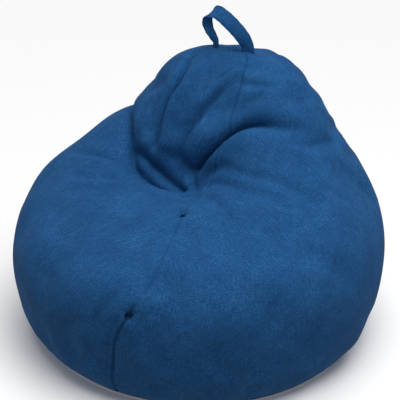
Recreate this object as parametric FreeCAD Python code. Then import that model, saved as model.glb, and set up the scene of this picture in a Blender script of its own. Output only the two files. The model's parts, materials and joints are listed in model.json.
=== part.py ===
import FreeCAD, Part
import math
import os

# Bean bag chair: a teardrop bag of loose beads in a liner, inside a removable fabric cover.
# Millimetres, +Z up. The origin is the middle of the flat base, on the floor. The sitter faces -Y.

Vector = FreeCAD.Vector

# Overall form of the filled bag
BODY_WIDTH = 920.0
BODY_HEIGHT = 680.0
CROWN_SETBACK = 148.0
CROWN_SIDE_SHIFT = 14.0

# Hollow pressed into the top in front of the crown
SEAT_CENTRE_Y = -102.0
SEAT_HALF_WIDTH = 165.0
SEAT_HALF_LENGTH = 102.0
SEAT_DEPTH = 73.0

# Carrying handle: one flat strap, its two feet sewn into the crown
HANDLE_WIDTH = 36.0
HANDLE_THICKNESS = 3.0
HANDLE_SPAN = 88.0
HANDLE_HEIGHT = 80.0
HANDLE_PIVOT_LIFT = 10.0
HANDLE_PIVOT_GAP = 1.4

# Oval opening at the top of the crown, closed by a patch that carries both feet of the handle
CROWN_MARGIN = 6.0
CROWN_OPENING_LENGTH = HANDLE_SPAN + HANDLE_WIDTH + 2 * CROWN_MARGIN
CROWN_OPENING_WIDTH = 44.0

# Fabric layers, from the outside in
COVER_THICKNESS = 1.2
LINER_THICKNESS = 0.8
LAYER_GAP = 0.5
PATCH_FIT = 0.1
BACKING_THICKNESS = 1.2
BACKING_MARGIN = 6.0

# Zips: one in the back of the cover, one above it in the liner
COVER_ZIP_LEVEL = 1.15
LINER_ZIP_LEVEL = 1.75
ZIP_HALF_ANGLE = 32.0
ZIP_FIT = 0.2
TAPE_WIDTH = 14.0
TAPE_THICKNESS = 0.8
TAPE_OVERRUN_ANGLE = 2.0
SLOT_OVERRUN_ANGLE = 0.5
COIL_GAP = 1.6
COIL_WIDTH = 2.4
COIL_HEIGHT = 1.8
STOP_LENGTH = 3.0
SLIDER_CLEARANCE = 0.6
SLIDER_LENGTH = 12.0
SLIDER_PLATE = 1.2
SLIDER_FLANGE = 1.2
SLIDER_HALF_CHANNEL = COIL_GAP / 2 + COIL_WIDTH + SLIDER_CLEARANCE
SLIDER_WIDTH = 2 * (SLIDER_HALF_CHANNEL + SLIDER_FLANGE)
SLOT_WIDTH = SLIDER_WIDTH + 2 * SLIDER_CLEARANCE
POST_FIT = 0.4
POST_WIDTH = COIL_GAP - 2 * POST_FIT
POST_LENGTH = 4.0
PULL_PIN_DIAMETER = 1.0
PULL_PIN_FIT = 0.4
PULL_EYE_WALL = 0.8
PULL_EYE_BORE = PULL_PIN_DIAMETER + 2 * PULL_PIN_FIT
PULL_EYE_DIAMETER = PULL_EYE_BORE + 2 * PULL_EYE_WALL
PULL_WIDTH = 5.0
PULL_THICKNESS = 1.2
PULL_LENGTH = 28.0
PULL_TIP_RADIUS = 2.0
PULL_LUG_THICKNESS = 1.2
PULL_LUG_LENGTH = 3.0

# Hollow behind the zips, where the liner and the beads stand back from the sliders
LINER_RECESS = 9.0
BEAD_RECESS_MARGIN = 5.0
FILL_RECESS = LINER_RECESS + BEAD_RECESS_MARGIN
RECESS_FLAT_ANGLE = 42.0
RECESS_END_ANGLE = 62.0
RECESS_RISE_LEVELS = (-0.3, 0.85)
RECESS_FALL_LEVELS = (2.2, 3.8)

# Sections of the bag from the floor up, one per level:
# share of height, share of the crown's setback and side shift, half width, front reach and back reach as shares of
# half the body width, tilt in degrees, turn of the front seam from the middle in degrees.
# Up to ROUND_BACK_LEVELS the back is a true circle about the vertical axis, where the zips run.
SECTIONS = [
    (0.000, 0.00, 0.850, 0.820, 0.850, 0.0, 3.0),
    (0.050, 0.00, 0.930, 0.905, 0.930, 0.0, 5.0),
    (0.155, 0.00, 0.982, 0.950, 0.982, 0.0, 6.0),
    (0.275, 0.00, 1.000, 0.980, 1.000, 0.0, 8.0),
    (0.400, 0.08, 0.992, 1.000, 0.955, 2.0, 12.0),
    (0.525, 0.20, 0.930, 0.955, 0.830, 5.0, 16.0),
    (0.630, 0.42, 0.795, 0.780, 0.685, 8.0, 16.0),
    (0.730, 0.64, 0.640, 0.460, 0.580, 9.0, 12.0),
    (0.830, 0.82, 0.490, 0.255, 0.470, 8.0, 18.0),
    (0.925, 0.93, 0.375, 0.175, 0.330, 5.0, 24.0),
    (0.980, 0.99, 0.250, 0.115, 0.170, 2.0, 32.0),
]
TOP_LEVEL = len(SECTIONS)
HALF_WIDTH = BODY_WIDTH / 2
ROUND_BACK_FACING = 0.65
ROUND_BACK_LEVELS = (2.2, 4.0)
SEAT_BLEND_LEVELS = (4.0, 6.0)
SEAT_BLEND_FACING = (-0.2, 0.4)
GRID_AROUND = 48
GRID_PER_LEVEL = 3
SHARE_ROUNDS = 12
STEP = 1e-3


def smooth(value, start, stop):
    """Ease from 0 at start to 1 at stop."""
    share = min(1.0, max(0.0, (value - start) / (stop - start)))
    return share * share * (3.0 - 2.0 * share)


def section_sizes():
    """The sections in millimetres and degrees, with the crown opening as the last one."""
    sizes = []
    for height, setback, half_width, front, back, tilt, seam in SECTIONS:
        sizes.append((height * BODY_HEIGHT, setback * CROWN_SETBACK, half_width * HALF_WIDTH,
                      front * HALF_WIDTH, back * HALF_WIDTH, tilt, seam))
    half_opening = CROWN_OPENING_WIDTH / 2
    sizes.append((BODY_HEIGHT, CROWN_SETBACK, CROWN_OPENING_LENGTH / 2,
                  half_opening, half_opening, 0.0, 45.0))
    return sizes


SECTION_SIZES = section_sizes()


def section_at(level):
    """Smooth curve through the sections, at any level between the floor and the crown."""
    index = min(max(int(level), 0), TOP_LEVEL - 1)
    t = level - index
    before = SECTION_SIZES[max(index - 1, 0)]
    low = SECTION_SIZES[index]
    high = SECTION_SIZES[index + 1]
    after = SECTION_SIZES[min(index + 2, TOP_LEVEL)]
    values = []
    for a, b, c, d in zip(before, low, high, after):
        values.append(0.5 * (2 * b + (c - a) * t + (2 * a - 5 * b + 4 * c - d) * t ** 2
                             + (3 * b - a - 3 * c + d) * t ** 3))
    return values


def skin_point(turn, level):
    """A point on the outside of the bag. turn is measured from the front through +X."""
    height, setback, half_width, front, back, tilt, _ = section_at(level)
    facing = math.cos(turn)
    even = (1 + facing) / 2
    round_back = smooth(facing, -ROUND_BACK_FACING, ROUND_BACK_FACING)
    share = round_back + (even - round_back) * smooth(level, *ROUND_BACK_LEVELS)
    reach = back + (front - back) * share
    tilt = math.radians(tilt)
    x = CROWN_SIDE_SHIFT * setback / CROWN_SETBACK + half_width * math.sin(turn)
    y = setback - reach * facing * math.cos(tilt)
    z = height - reach * facing * math.sin(tilt)
    hollow = math.exp(-(x / SEAT_HALF_WIDTH) ** 2
                      - ((y - SEAT_CENTRE_Y) / SEAT_HALF_LENGTH) ** 2)
    z -= SEAT_DEPTH * hollow * smooth(level, *SEAT_BLEND_LEVELS) * smooth(facing, *SEAT_BLEND_FACING)
    return Vector(x, y, z)


def skin_normal(turn, level):
    """The outward direction of the skin."""
    low = max(level - STEP, 0.0)
    high = min(level + STEP, TOP_LEVEL)
    around = skin_point(turn + STEP, level) - skin_point(turn - STEP, level)
    upward = skin_point(turn, high) - skin_point(turn, low)
    return around.cross(upward).normalize()


def turn_at(share, level):
    """Turn at a share of the way around: 0 is the front seam, 0.5 the back seam."""
    seam = math.radians(section_at(level)[6])
    return 2 * math.pi * share + seam * (1 + math.cos(2 * math.pi * share)) / 2


def share_at(turn, level):
    """The share of the way around that has this turn."""
    seam = math.radians(section_at(level)[6])
    share = turn / (2 * math.pi)
    for _ in range(SHARE_ROUNDS):
        share = (turn - seam * (1 + math.cos(2 * math.pi * share)) / 2) / (2 * math.pi)
    return share


def recess_share(turn, level):
    """How far the hollow behind the zips is let in here, from 0 to 1."""
    from_back = abs(math.degrees(turn) - 180.0)
    across = 1.0 - smooth(from_back, RECESS_FLAT_ANGLE, RECESS_END_ANGLE)
    upward = smooth(level, *RECESS_RISE_LEVELS) * (1.0 - smooth(level, *RECESS_FALL_LEVELS))
    return across * upward


def layer_point(share, level, inset, recess):
    """A point of a layer that lies inset behind the skin, and recess more behind the zips."""
    turn = turn_at(share, level)
    point = skin_point(turn, level) - skin_normal(turn, level) * (inset + recess * recess_share(turn, level))
    if level == 0:
        point.z = inset
    if level == TOP_LEVEL:
        point.z = top_height(inset)
    return point


def top_height(inset):
    """Height of a layer's flat top. The backing of the handle lies between the cover and the liner."""
    room = BACKING_THICKNESS if inset > COVER_THICKNESS else 0.0
    return BODY_HEIGHT - inset - room


LAYER_SURFACES = {}


def layer_surface(inset, recess=0.0):
    """Spline surface of one layer. Its parameters are the share around and the level."""
    key = (inset, recess)
    if key in LAYER_SURFACES:
        return LAYER_SURFACES[key]
    shares = [i / GRID_AROUND for i in range(GRID_AROUND + 1)]
    levels = [j / GRID_PER_LEVEL for j in range(TOP_LEVEL * GRID_PER_LEVEL + 1)]
    ring_poles = []
    for level in levels:
        points = [layer_point(share, level, inset, recess) for share in shares[:-1]]
        ring = Part.BSplineCurve()
        ring.interpolate(Points=points, PeriodicFlag=True, Parameters=shares)
        ring_poles.append(ring.getPoles())
    poles = []
    for column in zip(*ring_poles):
        curve = Part.BSplineCurve()
        curve.interpolate(Points=list(column), Parameters=levels)
        poles.append(curve.getPoles())
    surface = Part.BSplineSurface()
    surface.buildFromPolesMultsKnots(poles, ring.getMultiplicities(), curve.getMultiplicities(),
                                     ring.getKnots(), curve.getKnots(), True, False, 3, 3)
    LAYER_SURFACES[key] = surface
    return surface


def solid_from(faces):
    """One closed solid from faces that share their edges."""
    shell = Part.Shell(faces)
    shell.sewShape()
    solid = Part.Solid(shell)
    if solid.Volume < 0:
        solid.reverse()
    return solid


def layer_block(outer, inner, shares, levels):
    """The solid between two layer surfaces, within a range of shares and of levels."""
    faces = [surface.toShape(*shares, *levels) for surface in (outer, inner)]
    for share in shares:
        edges = [surface.uIso(share).toShape(*levels) for surface in (outer, inner)]
        faces.append(Part.makeRuledSurface(*edges, 1))
    for level in levels:
        edges = [surface.vIso(level).toShape(*shares) for surface in (outer, inner)]
        faces.append(Part.makeRuledSurface(*edges, 1))
    return solid_from(faces)


def flat_patch(surface, level, low, high, fit):
    """A flat piece that fills the end of a layer, held off the layer all round by a fit."""
    ring = surface.vIso(level)
    points = [ring.value(i / GRID_AROUND) for i in range(GRID_AROUND)]
    middle = Vector(sum(point.x for point in points), sum(point.y for point in points), 0) / GRID_AROUND
    outline = []
    for point in points:
        spoke = Vector(point.x, point.y, 0) - middle
        spoke = spoke - Vector(spoke).normalize() * fit
        outline.append(middle + spoke + Vector(0, 0, low))
    edge = Part.BSplineCurve()
    edge.interpolate(Points=outline, PeriodicFlag=True)
    return Part.Face(Part.Wire(edge.toShape())).extrude(Vector(0, 0, high - low))


def build_layer(prefix, outer_inset, thickness, recess):
    """The panels of the cover or the liner: two walls, a base and a crown patch."""
    outer = layer_surface(outer_inset, recess)
    inner_inset = outer_inset + thickness
    inner = layer_surface(inner_inset, recess)
    full = (0.0, float(TOP_LEVEL))
    return {
        prefix + "_right_panel": layer_block(outer, inner, (0.0, 0.5), full),
        prefix + "_left_panel": layer_block(outer, inner, (0.5, 1.0), full),
        prefix + "_base_panel": flat_patch(inner, 0.0, outer_inset, inner_inset, PATCH_FIT),
        prefix + "_crown_patch": flat_patch(inner, TOP_LEVEL, top_height(outer_inset) - thickness,
                                            top_height(outer_inset), PATCH_FIT),
    }


def level_speed(surface, share, level):
    """Millimetres up the wall for one level, here."""
    return (surface.value(share, level + STEP) - surface.value(share, level - STEP)).Length / (2 * STEP)


def wall_frame(surface, turn_degrees, level):
    """A frame standing on the wall: X along the zip, Y across it up the wall, Z outward."""
    share = share_at(math.radians(turn_degrees), level)
    origin = surface.value(share, level)
    along = (surface.value(share + STEP, level) - surface.value(share - STEP, level)).normalize()
    upward = (surface.value(share, level + STEP) - surface.value(share, level - STEP)).normalize()
    outward = along.cross(upward).normalize()
    return FreeCAD.Placement(origin, FreeCAD.Rotation(along, upward, outward, "ZXY"))


def centred_box(length, width, low, high, x=0.0, y=0.0):
    """A box centred on x and y, from one height to another."""
    return Part.makeBox(length, width, high - low, Vector(x - length / 2, y - width / 2, low))


def zip_shares(level, half_angle):
    """The shares of the two ends of an arc about the middle of the back."""
    return tuple(share_at(math.radians(180.0 + side * half_angle), level) for side in (-1, 1))


def zip_strip(skin, wall, level, across, depths, recess, half_angle):
    """A strip along the zip. across and depths are measured from its centre line and the skin."""
    speed = level_speed(wall, 0.5, level)
    levels = tuple(level + offset / speed for offset in across)
    outer = layer_surface(skin + depths[0], recess)
    inner = layer_surface(skin + depths[1], recess)
    return layer_block(outer, inner, zip_shares(level, half_angle), levels)


def zip_sizes(wall_thickness):
    """Depths of the tape behind the skin, and heights of the slider's plates over it."""
    tape_outer = wall_thickness + ZIP_FIT
    tape_inner = tape_outer + TAPE_THICKNESS
    coil_top = COIL_HEIGHT - tape_outer
    return tape_outer, tape_inner, coil_top


def slider_half_angle(radius):
    """Half the slider's length, as an angle about the vertical axis."""
    return math.degrees(SLIDER_LENGTH / 2 / radius)


def build_slider(wall_thickness, with_lugs):
    """Two plates joined by a post between the coils, with flanges over the tape."""
    tape_outer, tape_inner, coil_top = zip_sizes(wall_thickness)
    plate_low = coil_top + SLIDER_CLEARANCE
    plate_high = plate_low + SLIDER_PLATE
    flange_low = -tape_outer + SLIDER_CLEARANCE
    back_high = -tape_inner - SLIDER_CLEARANCE
    slider = centred_box(SLIDER_LENGTH, SLIDER_WIDTH, plate_low, plate_high)
    slider = slider.fuse(centred_box(SLIDER_LENGTH, SLIDER_WIDTH, back_high - SLIDER_PLATE, back_high))
    slider = slider.fuse(centred_box(POST_LENGTH, POST_WIDTH, back_high, plate_low))
    for side in (-1, 1):
        flange_y = side * (SLIDER_HALF_CHANNEL + SLIDER_FLANGE / 2)
        slider = slider.fuse(centred_box(SLIDER_LENGTH, SLIDER_FLANGE, flange_low, plate_low, y=flange_y))
    if with_lugs:
        pin_height = pull_pin_height(wall_thickness)
        lug_y = PULL_WIDTH / 2 + SLIDER_CLEARANCE + PULL_LUG_THICKNESS / 2
        for side in (-1, 1):
            lug = centred_box(PULL_LUG_LENGTH, PULL_LUG_THICKNESS, plate_high,
                              pin_height + PULL_PIN_DIAMETER, y=side * lug_y)
            slider = slider.fuse(lug)
        pin = Part.makeCylinder(PULL_PIN_DIAMETER / 2, 2 * lug_y, Vector(0, -lug_y, pin_height),
                                Vector(0, 1, 0))
        slider = slider.fuse(pin)
    return slider.removeSplitter()


def pull_pin_height(wall_thickness):
    """Height of the pull's pin over the skin."""
    plate_high = zip_sizes(wall_thickness)[2] + SLIDER_CLEARANCE + SLIDER_PLATE
    return plate_high + SLIDER_CLEARANCE + PULL_EYE_DIAMETER / 2


def build_pull(wall_thickness):
    """A flat tab on an eye that turns on the slider's pin. It lies back along the closed zip."""
    height = pull_pin_height(wall_thickness)
    eye = Part.makeCylinder(PULL_EYE_DIAMETER / 2, PULL_WIDTH, Vector(0, -PULL_WIDTH / 2, height),
                            Vector(0, 1, 0))
    tab = centred_box(PULL_LENGTH, PULL_WIDTH, height - PULL_THICKNESS / 2,
                      height + PULL_THICKNESS / 2, x=-PULL_LENGTH / 2)
    tip_edges = [edge for edge in tab.Edges if abs(edge.CenterOfMass.x + PULL_LENGTH) < STEP
                 and abs(edge.CenterOfMass.y) > PULL_WIDTH / 2 - STEP]
    tab = tab.makeFillet(PULL_TIP_RADIUS, tip_edges)
    bore = Part.makeCylinder(PULL_EYE_BORE / 2, PULL_WIDTH, Vector(0, -PULL_WIDTH / 2, height),
                             Vector(0, 1, 0))
    return eye.fuse(tab).cut(bore).removeSplitter()


def build_zip(prefix, skin, wall_thickness, recess, level, with_pull):
    """Tapes, coils, end stops, slider and pull of one zip, and the cutter for its slot."""
    wall = layer_surface(skin, recess)
    tape_outer, tape_inner, coil_top = zip_sizes(wall_thickness)
    centre = wall.value(share_at(math.pi, level), level)
    radius = math.hypot(centre.x, centre.y)
    stop_angle = math.degrees(STOP_LENGTH / radius)
    half_slot = SLOT_WIDTH / 2
    pieces = {}
    for name, side in (("upper", 1), ("lower", -1)):
        tape_edges = sorted((side * COIL_GAP / 2, side * (COIL_GAP / 2 + TAPE_WIDTH)))
        coil_edges = sorted((side * COIL_GAP / 2, side * (COIL_GAP / 2 + COIL_WIDTH)))
        pieces[prefix + "_zip_tape_" + name] = zip_strip(
            skin, wall, level, tape_edges, (tape_outer, tape_inner), recess,
            ZIP_HALF_ANGLE + TAPE_OVERRUN_ANGLE)
        pieces[prefix + "_zip_coil_" + name] = zip_strip(
            skin, wall, level, coil_edges, (-coil_top, tape_outer), recess, ZIP_HALF_ANGLE)
    stops = []
    for side in (-1, 1):
        frame = wall_frame(wall, 180.0 + side * (ZIP_HALF_ANGLE + stop_angle / 2), level)
        stop = centred_box(STOP_LENGTH - ZIP_FIT, COIL_GAP + 2 * COIL_WIDTH, -tape_outer + ZIP_FIT, coil_top)
        stop.Placement = frame
        stops.append(stop)
    pieces[prefix + "_zip_stops"] = Part.Compound(stops)
    rest_angle = ZIP_HALF_ANGLE - slider_half_angle(radius) - stop_angle / 2
    frame = wall_frame(wall, 180.0 + rest_angle, level)
    slider = build_slider(wall_thickness, with_pull)
    slider.Placement = frame
    pieces[prefix + "_zip_slider"] = slider
    if with_pull:
        pull = build_pull(wall_thickness)
        pull.Placement = frame
        pieces[prefix + "_zip_pull"] = pull
        pin = frame.multVec(Vector(0, 0, pull_pin_height(wall_thickness)))
        print(prefix, "pull pin", pin, "axis", frame.Rotation.multVec(Vector(0, 1, 0)))
    print(prefix, "zip height", round(centre.z, 2), "radius", round(radius, 2),
          "slider travel", round(2 * rest_angle, 3), "degrees",
          "length", round(math.radians(2 * ZIP_HALF_ANGLE) * radius))
    slot = zip_strip(skin, wall, level, (-half_slot, half_slot), (-wall_thickness, 2 * wall_thickness),
                     recess, ZIP_HALF_ANGLE + stop_angle + SLOT_OVERRUN_ANGLE)
    return pieces, slot


def cut_slot(pieces, prefix, slot):
    """Open the slot of the zip in both panels."""
    for side in ("_left_panel", "_right_panel"):
        pieces[prefix + side] = pieces[prefix + side].cut(slot)


def build_bead_fill():
    """The mass of beads, as the closed space inside the liner."""
    inset = COVER_THICKNESS + LINER_THICKNESS + 2 * LAYER_GAP
    surface = layer_surface(inset, FILL_RECESS)
    faces = [surface.toShape()]
    for level in (0.0, float(TOP_LEVEL)):
        faces.append(Part.Face(Part.Wire(surface.vIso(level).toShape())))
    return solid_from(faces)


def handle_stations():
    """Points along the middle of the strap from the left foot to the right one, with the
    direction of its width there and its width. The strap leans to the left and forward and
    turns over at the top. The left foot is gathered."""
    span = HANDLE_SPAN / 2
    tall = HANDLE_HEIGHT
    return [
        (Vector(-span, 0, 0), Vector(1, 0, 0), 0.45 * HANDLE_WIDTH),
        (Vector(-1.22 * span, -0.03 * tall, 0.22 * tall), Vector(0.60, 0.80, 0), 0.66 * HANDLE_WIDTH),
        (Vector(-1.46 * span, -0.08 * tall, 0.52 * tall), Vector(0.32, 0.94, -0.10), 0.92 * HANDLE_WIDTH),
        (Vector(-1.36 * span, -0.13 * tall, 0.86 * tall), Vector(0.22, 0.92, 0.15), HANDLE_WIDTH),
        (Vector(-0.84 * span, -0.15 * tall, 1.00 * tall), Vector(0.05, 0.66, 0.75), HANDLE_WIDTH),
        (Vector(-0.01 * span, -0.10 * tall, 0.71 * tall), Vector(0.50, 0.62, 0.60), HANDLE_WIDTH),
        (Vector(0.68 * span, -0.04 * tall, 0.33 * tall), Vector(0.80, 0.45, 0.35), HANDLE_WIDTH),
        (Vector(span, 0, 0), Vector(1, 0, 0), HANDLE_WIDTH),
    ]


def build_handle_strap():
    """The loop of the strap, from just over the pivot line at each foot."""
    base = Vector(CROWN_SIDE_SHIFT, CROWN_SETBACK, BODY_HEIGHT + HANDLE_PIVOT_LIFT + HANDLE_PIVOT_GAP)
    stations = handle_stations()
    rails = {(1, 1): [], (1, -1): [], (-1, -1): [], (-1, 1): []}
    last = len(stations) - 1
    for index, (centre, across, width) in enumerate(stations):
        tangent = stations[min(index + 1, last)][0] - stations[max(index - 1, 0)][0]
        across = Vector(across).normalize()
        facing = tangent.cross(across).normalize()
        for (along_width, along_facing), points in rails.items():
            points.append(base + centre + across * (along_width * width / 2)
                          + facing * (along_facing * HANDLE_THICKNESS / 2))
    edges = []
    for points in rails.values():
        curve = Part.BSplineCurve()
        curve.interpolate(Points=points, Parameters=[float(i) for i in range(last + 1)])
        edges.append(curve.toShape())
    faces = [Part.makeRuledSurface(edges[i - 1], edges[i], 1) for i in range(len(edges))]
    for end in (0, -1):
        corners = [points[end] for points in rails.values()]
        faces.append(Part.Face(Part.makePolygon(corners + corners[:1])))
    return solid_from(faces)


def build_handle_end(station):
    """The sewn end of the strap, standing up out of the seam of the crown patch."""
    centre, _, width = station
    return centred_box(width, HANDLE_THICKNESS, BODY_HEIGHT,
                       BODY_HEIGHT + HANDLE_PIVOT_LIFT - HANDLE_PIVOT_GAP,
                       x=CROWN_SIDE_SHIFT + centre.x, y=CROWN_SETBACK + centre.y)


def build_backing():
    """The patch behind the crown that spreads the pull of the handle."""
    half_length = CROWN_OPENING_LENGTH / 2 - BACKING_MARGIN
    half_width = CROWN_OPENING_WIDTH / 2 - BACKING_MARGIN
    low = BODY_HEIGHT - COVER_THICKNESS - LAYER_GAP / 2 - BACKING_THICKNESS
    outline = Part.Ellipse(Vector(CROWN_SIDE_SHIFT, CROWN_SETBACK, low), half_length, half_width)
    return Part.Face(Part.Wire(outline.toShape())).extrude(Vector(0, 0, BACKING_THICKNESS))


def build_all():
    """Every piece, by node name."""
    liner_skin = COVER_THICKNESS + LAYER_GAP
    pieces = build_layer("cover", 0.0, COVER_THICKNESS, 0.0)
    pieces.update(build_layer("liner", liner_skin, LINER_THICKNESS, LINER_RECESS))
    cover_zip, cover_slot = build_zip("cover", 0.0, COVER_THICKNESS, 0.0, COVER_ZIP_LEVEL, True)
    liner_zip, liner_slot = build_zip("liner", liner_skin, LINER_THICKNESS, LINER_RECESS,
                                      LINER_ZIP_LEVEL, False)
    cut_slot(pieces, "cover", cover_slot)
    cut_slot(pieces, "liner", liner_slot)
    pieces.update(cover_zip)
    pieces.update(liner_zip)
    pieces["handle_strap"] = build_handle_strap()
    pieces["handle_end_left"] = build_handle_end(handle_stations()[0])
    pieces["handle_end_right"] = build_handle_end(handle_stations()[-1])
    pieces["handle_backing_patch"] = build_backing()
    pieces["bead_fill"] = build_bead_fill()
    return pieces


def main():
    os.makedirs("parts", exist_ok=True)
    for name, shape in sorted(build_all().items()):
        box = shape.BoundBox
        print(name, "solids", len(shape.Solids), "valid", shape.isValid(),
              "volume", round(sum(solid.Volume for solid in shape.Solids), 1),
              "z", round(box.ZMin, 1), round(box.ZMax, 1))
        shape.exportStep("parts/" + name + ".step")
    print("handle pivot height", BODY_HEIGHT + HANDLE_PIVOT_LIFT, "setback", CROWN_SETBACK)


main()
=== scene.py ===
import json
import math

import bpy
import numpy as np
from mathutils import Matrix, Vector
from mathutils.bvhtree import BVHTree


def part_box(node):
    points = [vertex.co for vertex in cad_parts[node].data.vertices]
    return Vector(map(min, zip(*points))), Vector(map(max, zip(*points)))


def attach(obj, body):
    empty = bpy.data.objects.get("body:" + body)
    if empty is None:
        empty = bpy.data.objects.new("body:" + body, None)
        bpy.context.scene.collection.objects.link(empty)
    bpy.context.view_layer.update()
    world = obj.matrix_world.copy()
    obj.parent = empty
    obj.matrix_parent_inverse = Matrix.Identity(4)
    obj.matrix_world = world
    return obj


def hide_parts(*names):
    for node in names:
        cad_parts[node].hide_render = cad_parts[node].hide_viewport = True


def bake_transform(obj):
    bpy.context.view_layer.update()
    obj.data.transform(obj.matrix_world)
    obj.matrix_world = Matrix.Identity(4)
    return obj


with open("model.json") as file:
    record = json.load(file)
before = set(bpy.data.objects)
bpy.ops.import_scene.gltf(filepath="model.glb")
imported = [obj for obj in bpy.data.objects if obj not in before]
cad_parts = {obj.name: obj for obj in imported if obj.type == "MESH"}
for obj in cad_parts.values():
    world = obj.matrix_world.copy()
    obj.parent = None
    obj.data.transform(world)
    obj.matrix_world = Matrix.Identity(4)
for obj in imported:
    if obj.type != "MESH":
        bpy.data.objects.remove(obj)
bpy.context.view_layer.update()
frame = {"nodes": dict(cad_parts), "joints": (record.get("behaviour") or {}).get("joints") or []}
nodes = frame["nodes"]
joints = {joint["name"]: joint for joint in frame["joints"]}

# The bean bag chair, in metres. The cover is a grid: rows from the floor to the crown, columns round
# the bag. Rays lay it on the CAD cover, so it starts as that form, and the folds are worked into it.

# Grid of the cloth. Column 0 is the front seam and column COLUMNS / 2 the back seam.
ROWS = 210
COLUMNS = 480
SEAM_CROWDING = 0.35
LEVEL_ROWS_SHARE = 0.24
LEVEL_ROWS_TOP = 0.18
SPINE_TOP = 0.52
SPINE_END_SHARE = 0.8
RAY_START = 2.0
FRONT_SEAM_SEARCH = (math.radians(-25.0), math.radians(100.0))

# Zips, the same half angle as in the CAD parts
ZIP_HALF_ANGLE = 32.0
ZIP_ANGLE_SIGHT = 38.0
SLOT_HALF_ANGLE = ZIP_HALF_ANGLE + 1.0
TAPE_OVERRUN_ANGLE = 2.0
TAPE_WIDTH = 0.014
COIL_REACH = 0.0032
COIL_INNER = 0.00045
COIL_TOP_OVER_SKIN = {"cover": 0.0004, "liner": 0.0008}
TAPE_DEPTHS = {"cover": (0.0014, 0.0022), "liner": (0.0010, 0.0018)}
STITCHES_FROM_ZIP = {"cover": (0.0052 + 0.0036, 0.0118 + 0.0036), "liner": (0.0052, 0.0118)}
COIL_PITCH = 0.0016
COIL_WIRE = 0.00036

# Handle. The stations follow the middle of the strap from its left foot: place, direction of the width, width
STRAP_WIDTH = 0.0360
STRAP_THICKNESS = 0.003
STRAP_FOOT_DEPTH = 0.014
STRAP_STATIONS = [
    ((-0.0440, 0.0000, 0.0000), (1.00, 0.00, 0.00), 0.0162),
    ((-0.0537, -0.0024, 0.0176), (0.60, 0.80, 0.00), 0.0238),
    ((-0.0642, -0.0064, 0.0416), (0.32, 0.94, -0.10), 0.0331),
    ((-0.0598, -0.0104, 0.0688), (0.22, 0.92, 0.15), STRAP_WIDTH),
    ((-0.0370, -0.0120, 0.0800), (0.05, 0.66, 0.75), STRAP_WIDTH),
    ((-0.0004, -0.0080, 0.0568), (0.50, 0.62, 0.60), STRAP_WIDTH),
    ((0.0299, -0.0032, 0.0264), (0.80, 0.45, 0.35), STRAP_WIDTH),
    ((0.0440, 0.0000, 0.0000), (1.00, 0.00, 0.00), STRAP_WIDTH),
]
PIVOT_GAP = 0.0014
STRAP_SAMPLES = 110
STRAP_FOOT_SAMPLES = 9
STRAP_ACROSS = 25
STRAP_STITCH_COLUMNS = (3, 21, 28, 46)
STRAP_STITCH_MARGIN = 12

# Seams and stitches
SEAM_GROOVE = 0.0024
SEAM_GROOVE_WIDTH = 0.0040
BAND_WIDTH = 0.014
BAND_RAISE = 0.0026
BAND_TOP = 0.262
STITCH_LENGTH = 0.0034
STITCH_PITCH = 0.0050
STITCH_RADIUS = 0.00045

# Where the front seam is caught: place, depth and reach of the dimple, and rows that the bar tack covers
PUCKERS = [((0.074, -0.203, 0.394), 0.020, 0.010, 0.5), ((0.092, -0.436, 0.262), 0.009, 0.009, 0.8)]

# Liner and beads: every third row and column, pushed in past the folds over them
INNER_EVERY = 3
LINER_MARGIN = 0.0010
BEAD_MARGIN = 0.0030
CROWN_CLEARANCE = 0.006
FOLD_ALLOWANCE = 1.2
PUSH_SPREAD = 10

rng = np.random.default_rng(11)
CROWN_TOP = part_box("cover_crown_patch")[1].z


# ---------------------------------------------------------------- small helpers

def unit(vectors):
    vectors = np.asarray(vectors, float)
    return vectors / np.maximum(np.linalg.norm(vectors, axis=-1, keepdims=True), 1e-12)


def smooth(value, start, stop):
    share = np.clip((value - start) / (stop - start), 0.0, 1.0)
    return share * share * (3.0 - 2.0 * share)


def curve_through(points, count):
    """A natural cubic spline through points, one unit of its parameter to each, as count samples."""
    points = np.asarray(points, float)
    number = len(points)
    system = np.eye(number)
    right = np.zeros_like(points)
    for i in range(1, number - 1):
        system[i, i - 1:i + 2] = (1.0, 4.0, 1.0)
        right[i] = 6.0 * (points[i - 1] - 2 * points[i] + points[i + 1])
    bend = np.linalg.solve(system, right)
    at = np.linspace(0, number - 1, count)
    low = np.clip(at.astype(int), 0, number - 2)
    t = (at - low)[:, None]
    return ((1 - t) * points[low] + t * points[low + 1]
            + ((1 - t) ** 3 - (1 - t)) * bend[low] / 6 + (t ** 3 - t) * bend[low + 1] / 6)


def bell(value, width):
    """1 where the value is 0, dying out over about a width on each side."""
    return np.exp(-(value / width) ** 2)


def running(steps, axis=0):
    """Running totals along an axis, starting at 0."""
    totals = np.cumsum(steps, axis=axis)
    return np.concatenate([np.zeros_like(np.take(totals, [0], axis)), totals], axis=axis)


def line_length(points):
    """Distance along a line of points, starting at 0."""
    return running(np.linalg.norm(np.diff(points, axis=0), axis=1))


def smoothed_once(values):
    """Each point drawn towards its neighbours round and up the bag."""
    around = (np.roll(values, 1, 1) + 2 * values + np.roll(values, -1, 1)) / 4
    inner = (around[:-2] + 2 * around[1:-1] + around[2:]) / 4
    return np.concatenate([around[:1], inner, around[-1:]])


def linked(name, data):
    """A new object in the scene."""
    made = bpy.data.objects.new(name, data)
    bpy.context.scene.collection.objects.link(made)
    return made


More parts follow.
